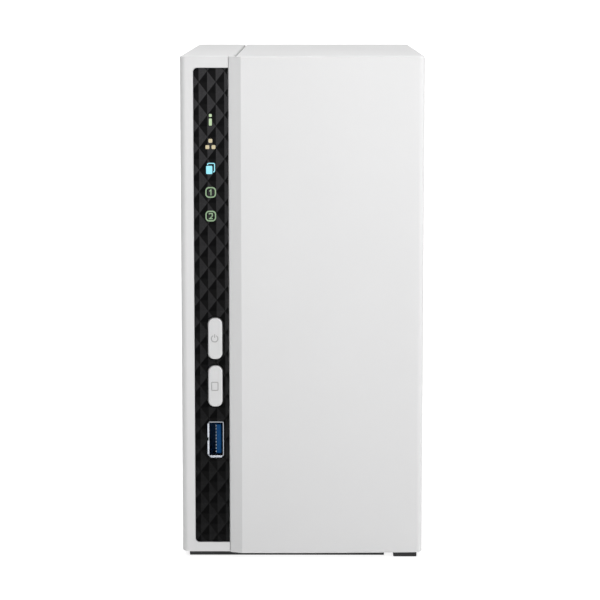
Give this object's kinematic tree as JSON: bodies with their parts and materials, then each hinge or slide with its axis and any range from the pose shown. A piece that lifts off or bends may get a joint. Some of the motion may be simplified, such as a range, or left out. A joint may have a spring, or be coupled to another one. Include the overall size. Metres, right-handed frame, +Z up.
{
  "type": "network attached storage",
  "caption": "Upright desktop network storage unit with a sliding side cover, a patterned control strip, press buttons and drive bays inside.",
  "frame": {"origin": "centre of the footprint at the level of the surface the unit stands on", "axes": "+Z up, the front with its control strip faces -Y, +X is the right side as seen from the front"},
  "size_m": [0.0902, 0.1562, 0.1886],
  "materials": {
    "white_plastic": "fine moulded texture, off-white",
    "black_gloss_plastic": "smooth black, diamond relief",
    "button_plastic": "satin light grey",
    "dark_rubber": "matt anti-slip rubber",
    "plated_steel": "bright nickel plate",
    "usb_blue_plastic": "blue moulding",
    "contact_metal": "gold-plated contacts",
    "zinc_plated_sheet": "zinc-plated sheet",
    "screw_steel": "nickel-plated screw",
    "black_screw_steel": "blackened screw",
    "black_insert_plastic": "black moulding",
    "dark_plastic": "dark moulding",
    "fan_plastic": "satin black moulding",
    "copper_windings": "enamelled copper wire",
    "lead_sleeve": "black sleeve",
    "connector_plastic": "natural nylon",
    "green_board": "solder-masked board",
    "chip_epoxy": "moulded epoxy",
    "grey_pad": "soft filled pad",
    "anodised_aluminium": "extruded, clear anodised",
    "ferrite": "pressed ferrite",
    "capacitor_can": "drawn can",
    "cast_aluminium": "die cast",
    "drive_lid_steel": "pressed lid",
    "tray_plastic": "moulded tray",
    "lamp_plastic": "clear lamp body",
    "green_light": "lit translucent symbol",
    "green_ring_light": "lit translucent symbol",
    "amber_light": "lit translucent symbol",
    "blue_light": "lit translucent symbol"
  },
  "bodies": {
    "chassis": {"backplane": "green_board", "backplane_screws": "screw_steel", "base_strips": "dark_rubber", "board_screws": "screw_steel", "buzzer": "dark_plastic", "cage_screws": "screw_steel", "capacitors": "capacitor_can", "cell_holder": "connector_plastic", "coin_cell": "plated_steel", "controller_chips": "chip_epoxy", "dc_jack": "dark_plastic", "dc_pin": "plated_steel", "drive_1_body": "cast_aluminium", "drive_1_lid_and_board": "drive_lid_steel", "drive_1_light_pipe": "green_ring_light", "drive_2_body": "cast_aluminium", "drive_2_lid_and_board": "drive_lid_steel", "drive_2_light_pipe": "green_ring_light", "drive_cage": "zinc_plated_sheet", "drive_screws": "screw_steel", "drive_trays": "tray_plastic", "fan_frame": "fan_plastic", "fan_lead": "lead_sleeve", "fan_plug": "connector_plastic", "fan_screws": "black_screw_steel", "fan_stator": "copper_windings", "front_lamps": "lamp_plastic", "front_strip": "black_gloss_plastic", "front_usb_contacts": "contact_metal", "front_usb_insert": "usb_blue_plastic", "front_usb_shell": "plated_steel", "heatsink": "anodised_aluminium", "inductors": "ferrite", "left_shell": "white_plastic", "link_socket": "connector_plastic", "main_board": "green_board", "memory_chips": "chip_epoxy", "network_light_pipe": "amber_light", "panel_screws": "screw_steel", "rear_panel": "zinc_plated_sheet", "rear_usb_contacts": "contact_metal", "rear_usb_inserts": "black_insert_plastic", "rear_usb_shells": "plated_steel", "reset_switch": "dark_plastic", "rj45_contacts": "contact_metal", "rj45_insert": "black_insert_plastic", "rj45_shell": "plated_steel", "sata_sockets": "black_insert_plastic", "soc_chip": "chip_epoxy", "status_light_pipe": "green_light", "tact_switches": "dark_plastic", "thermal_pad": "grey_pad", "usb_copy_light_pipe": "blue_light"},
    "case_cover": {"case_cover": "white_plastic", "cover_feet": "dark_rubber"},
    "power_button": {"power_button": "button_plastic"},
    "copy_button": {"copy_button": "button_plastic"},
    "reset_button": {"reset_button": "black_insert_plastic"},
    "fan_impeller": {"fan_impeller": "fan_plastic"},
    "thumbscrew": {"thumbscrew": "screw_steel"}
  },
  "joints": [
    {"name": "power_button_press", "type": "slide", "parent": "chassis", "child": "power_button", "axis": [0, 1, 0], "range_m": [0, 0.0008], "stiffness_N_per_m": 400},
    {"name": "copy_button_press", "type": "slide", "parent": "chassis", "child": "copy_button", "axis": [0, 1, 0], "range_m": [0, 0.0008], "stiffness_N_per_m": 400},
    {"name": "reset_button_press", "type": "slide", "parent": "chassis", "child": "reset_button", "axis": [0, -1, 0], "range_m": [0, 0.0006], "stiffness_N_per_m": 300},
    {"name": "fan_spin", "type": "hinge", "parent": "chassis", "child": "fan_impeller", "pos_m": [0.01, 0.0625, 0.102], "axis": [0, 1, 0], "continuous": true},
    {"name": "thumbscrew_turn", "type": "hinge", "parent": "chassis", "child": "thumbscrew", "pos_m": [0.0375, 0.073, 0.1824], "axis": [0, 1, 0], "continuous": true},
    {"name": "cover_slide", "type": "slide", "parent": "chassis", "child": "case_cover", "axis": [0, -1, 0], "range_m": [0, 0.165]}
  ]
}
